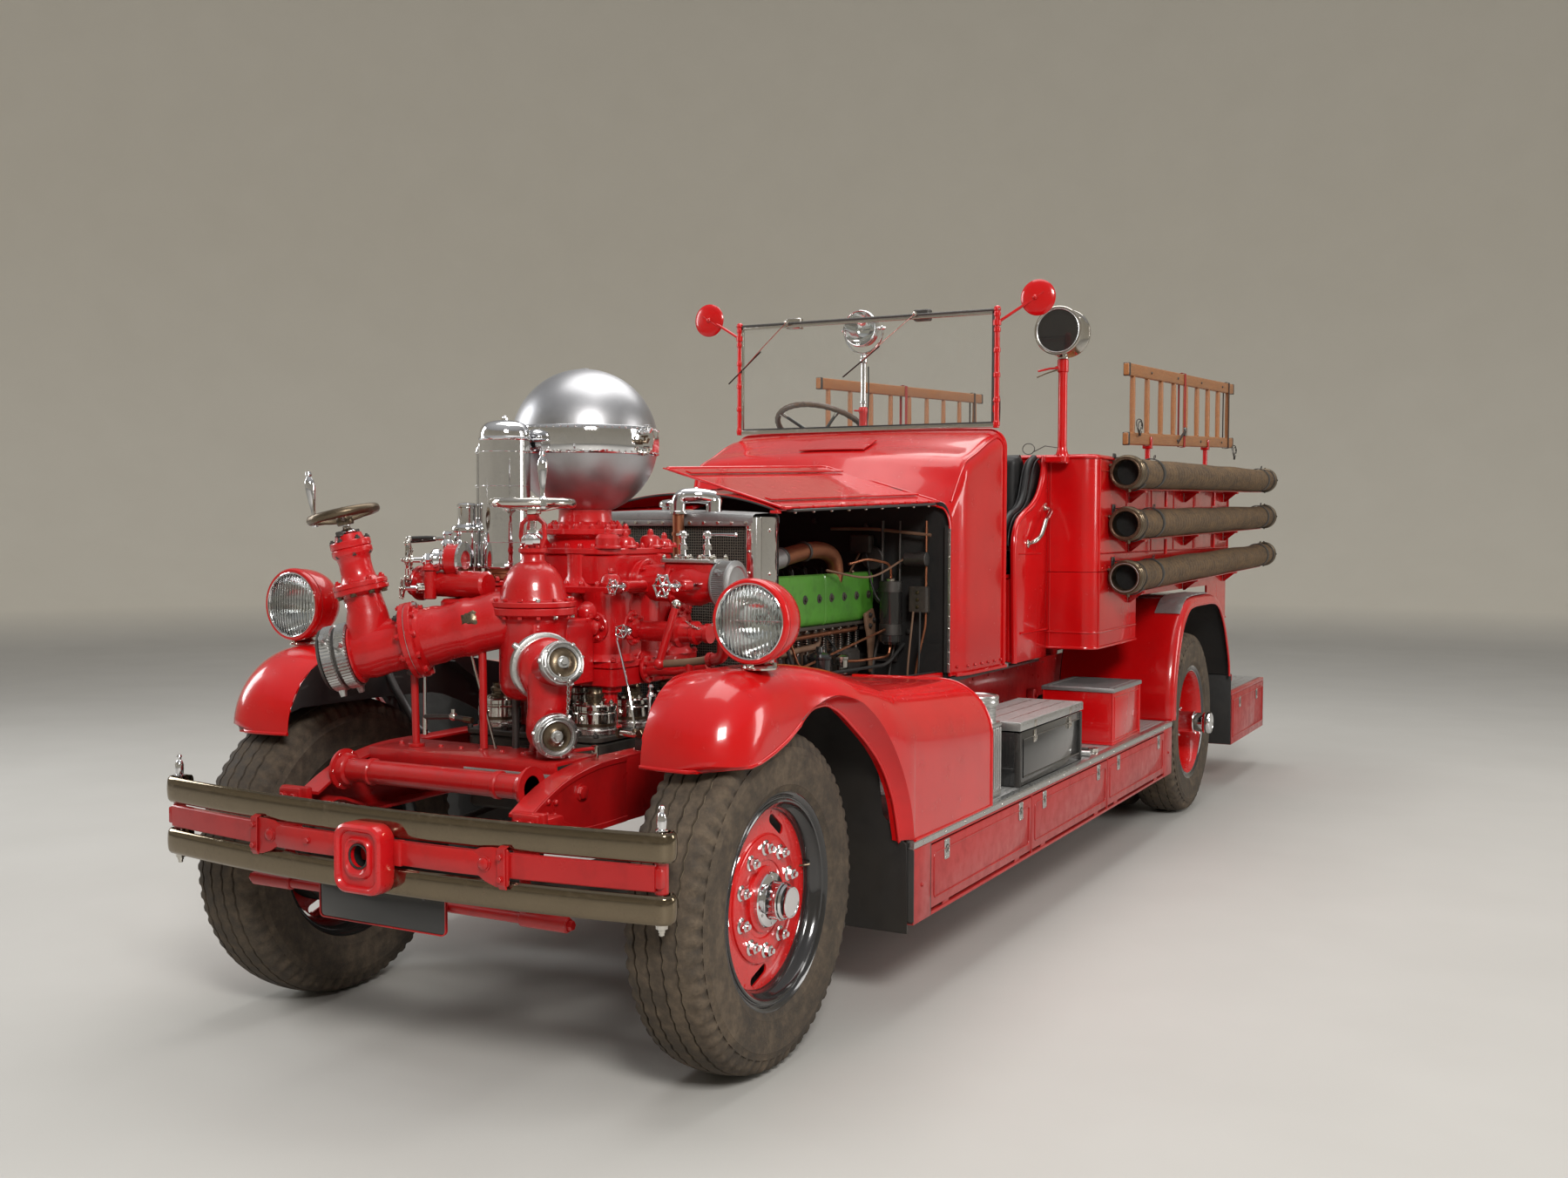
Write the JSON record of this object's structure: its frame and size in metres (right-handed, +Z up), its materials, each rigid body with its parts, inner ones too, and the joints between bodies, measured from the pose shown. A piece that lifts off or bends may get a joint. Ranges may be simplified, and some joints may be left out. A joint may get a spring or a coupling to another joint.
{
  "type": "fire engine",
  "caption": "Vintage open-cab fire engine with a front-mounted piston pump, silver ball air chamber, twin rear wheels, suction hoses and ladders on its sides.",
  "frame": {"origin": "on the ground under the middle of the whole vehicle's box", "axes": "+Z up, -Y forwards, +X to the vehicle's left side"},
  "size_m": [2.32, 7.8853, 2.6819],
  "materials": {
    "red_paint": "glossy red coach paint",
    "chrome": "polished",
    "polished_steel": "bright turned steel",
    "silver_paint": "satin silver paint",
    "black_iron": "oily black",
    "tyre": "dusty brown-black tread",
    "wheel_red": "red disc with black rim",
    "glass": "clear",
    "leather": "black hide",
    "wood": "varnished",
    "dark_wood": "dark rim",
    "canvas": "brown canvas-covered rubber",
    "aluminium": "tread plate",
    "black_paint": "gloss black"
  },
  "bodies": {
    "root": {"frame_rails": "red_paint", "bumper_bars": "chrome", "bumper_beam": "red_paint", "front_axle": "black_iron", "rear_axle": "black_iron", "leaf_springs": "black_iron", "engine_block": "black_iron", "radiator": "chrome", "pump_body": "red_paint", "pump_cylinders": "polished_steel", "air_chamber": "silver_paint", "vacuum_chambers": "chrome", "suction_pipe": "red_paint", "handwheels": "chrome", "hood_top": "red_paint", "hood_frame": "red_paint", "cowl": "red_paint", "windscreen_frame": "red_paint", "windscreen_glass": "glass", "cab_floor": "black_paint", "steering_column": "black_paint", "seat_box": "red_paint", "seat_cushion": "leather", "seat_back": "leather", "hose_body": "red_paint", "body_skirts": "red_paint", "front_fenders": "red_paint", "rear_fenders": "red_paint", "running_boards": "red_paint", "board_boxes": "black_paint", "headlights": "red_paint", "lamp_post": "chrome", "suction_hoses": "canvas", "ladder_rails": "wood", "ladder_rungs": "wood"},
    "knuckle_left": {"knuckle_left": "black_iron"},
    "knuckle_right": {"knuckle_right": "black_iron"},
    "tie_rod": {"tie_rod": "black_iron"},
    "wheel_front_left": {"tyre_front_left": "tyre", "wheel_front_left": "wheel_red"},
    "wheel_front_right": {"tyre_front_right": "tyre", "wheel_front_right": "wheel_red"},
    "wheels_rear_left": {"tyres_rear_left": "tyre", "wheels_rear_left": "wheel_red"},
    "wheels_rear_right": {"tyres_rear_right": "tyre", "wheels_rear_right": "wheel_red"},
    "steering_wheel": {"steering_wheel": "dark_wood"},
    "hood_side_left": {"hood_side_left": "red_paint"},
    "hood_side_right": {"hood_side_right": "red_paint"},
    "search_yoke": {"search_yoke": "chrome"},
    "search_lamp": {"search_lamp": "chrome"},
    "drum_lamp": {"drum_lamp": "chrome"},
    "tool_box_lid": {"tool_box_lid": "aluminium"},
    "red_box_lid": {"red_box_lid": "aluminium"},
    "locker_door_left_1": {"locker_door_left_1": "red_paint"},
    "locker_door_left_2": {"locker_door_left_2": "red_paint"},
    "locker_door_left_3": {"locker_door_left_3": "red_paint"},
    "locker_door_right_1": {"locker_door_right_1": "red_paint"},
    "locker_door_right_2": {"locker_door_right_2": "red_paint"},
    "locker_door_right_3": {"locker_door_right_3": "red_paint"}
  },
  "joints": [
    {"name": "steer_left", "type": "hinge", "parent": "root", "child": "knuckle_left", "pos_m": [0.68, -3.1975, 0.5], "axis": [0, 0, 1], "range_deg": [-26, 26]},
    {"name": "steer_right", "type": "hinge", "parent": "root", "child": "knuckle_right", "pos_m": [-0.68, -3.1975, 0.5], "axis": [0, 0, 1], "range_deg": [-26, 26]},
    {"name": "tie_rod_pivot", "type": "hinge", "parent": "knuckle_left", "child": "tie_rod", "pos_m": [0.68, -3.0275, 0.392], "axis": [0, 0, 1], "range_deg": [-26, 26]},
    {"name": "spin_front_left", "type": "hinge", "parent": "knuckle_left", "child": "wheel_front_left", "pos_m": [0.818, -3.1975, 0.505], "axis": [1, 0, 0], "continuous": true},
    {"name": "spin_front_right", "type": "hinge", "parent": "knuckle_right", "child": "wheel_front_right", "pos_m": [-0.818, -3.1975, 0.505], "axis": [1, 0, 0], "continuous": true},
    {"name": "spin_rear_left", "type": "hinge", "parent": "root", "child": "wheels_rear_left", "pos_m": [0.78, 1.5075, 0.505], "axis": [1, 0, 0], "continuous": true},
    {"name": "spin_rear_right", "type": "hinge", "parent": "root", "child": "wheels_rear_right", "pos_m": [-0.78, 1.5075, 0.505], "axis": [1, 0, 0], "continuous": true},
    {"name": "steering_wheel_turn", "type": "hinge", "parent": "root", "child": "steering_wheel", "pos_m": [-0.41, -0.2475, 2.085], "axis": [0, 0.4695, 0.8829], "range_deg": [-468, 468]},
    {"name": "hood_side_left_hinge", "type": "hinge", "parent": "root", "child": "hood_side_left", "pos_m": [0.415, -2.2125, 1.66], "axis": [0.1758, 0.9837, 0.038], "range_deg": [0, 255.4]},
    {"name": "hood_side_right_hinge", "type": "hinge", "parent": "root", "child": "hood_side_right", "pos_m": [-0.415, -2.2125, 1.66], "axis": [-0.1758, 0.9837, 0.038], "range_deg": [0, 210]},
    {"name": "search_pan", "type": "hinge", "parent": "root", "child": "search_yoke", "pos_m": [-0.078, -0.4725, 2.4], "axis": [0, 0, 1], "range_deg": [-170, 170]},
    {"name": "search_tilt", "type": "hinge", "parent": "search_yoke", "child": "search_lamp", "pos_m": [-0.078, -0.4725, 2.534], "axis": [1, 0, 0], "range_deg": [-60, 60]},
    {"name": "drum_lamp_pan", "type": "hinge", "parent": "root", "child": "drum_lamp", "pos_m": [0.77, -0.0475, 2.4], "axis": [0, 0, 1], "range_deg": [-170, 170]},
    {"name": "tool_box_lid_hinge", "type": "hinge", "parent": "root", "child": "tool_box_lid", "pos_m": [0.745, -1.0105, 0.797], "axis": [0, -1, 0], "range_deg": [0, 88]},
    {"name": "red_box_lid_lift", "type": "slide", "parent": "root", "child": "red_box_lid", "axis": [0, 0, 1], "range_m": [0, 0.14]},
    {"name": "locker_left_1_hinge", "type": "hinge", "parent": "root", "child": "locker_door_left_1", "pos_m": [1.07, -1.8905, 0.309], "axis": [0, 1, 0], "range_deg": [0, 88]},
    {"name": "locker_left_2_hinge", "type": "hinge", "parent": "root", "child": "locker_door_left_2", "pos_m": [1.07, -0.8295, 0.309], "axis": [0, 1, 0], "range_deg": [0, 88]},
    {"name": "locker_left_3_hinge", "type": "hinge", "parent": "root", "child": "locker_door_left_3", "pos_m": [1.07, 0.235, 0.309], "axis": [0, 1, 0], "range_deg": [0, 88]},
    {"name": "locker_right_1_hinge", "type": "hinge", "parent": "root", "child": "locker_door_right_1", "pos_m": [-1.07, -1.8905, 0.309], "axis": [0, -1, 0], "range_deg": [0, 88]},
    {"name": "locker_right_2_hinge", "type": "hinge", "parent": "root", "child": "locker_door_right_2", "pos_m": [-1.07, -0.8295, 0.309], "axis": [0, -1, 0], "range_deg": [0, 88]},
    {"name": "locker_right_3_hinge", "type": "hinge", "parent": "root", "child": "locker_door_right_3", "pos_m": [-1.07, 0.235, 0.309], "axis": [0, -1, 0], "range_deg": [0, 88]}
  ],
  "couplings": [
    {"joint": "steer_right", "follows": "steer_left", "ratio": 1},
    {"joint": "tie_rod_pivot", "follows": "steer_left", "ratio": -1},
    {"joint": "steering_wheel_turn", "follows": "steer_left", "ratio": 18}
  ]
}
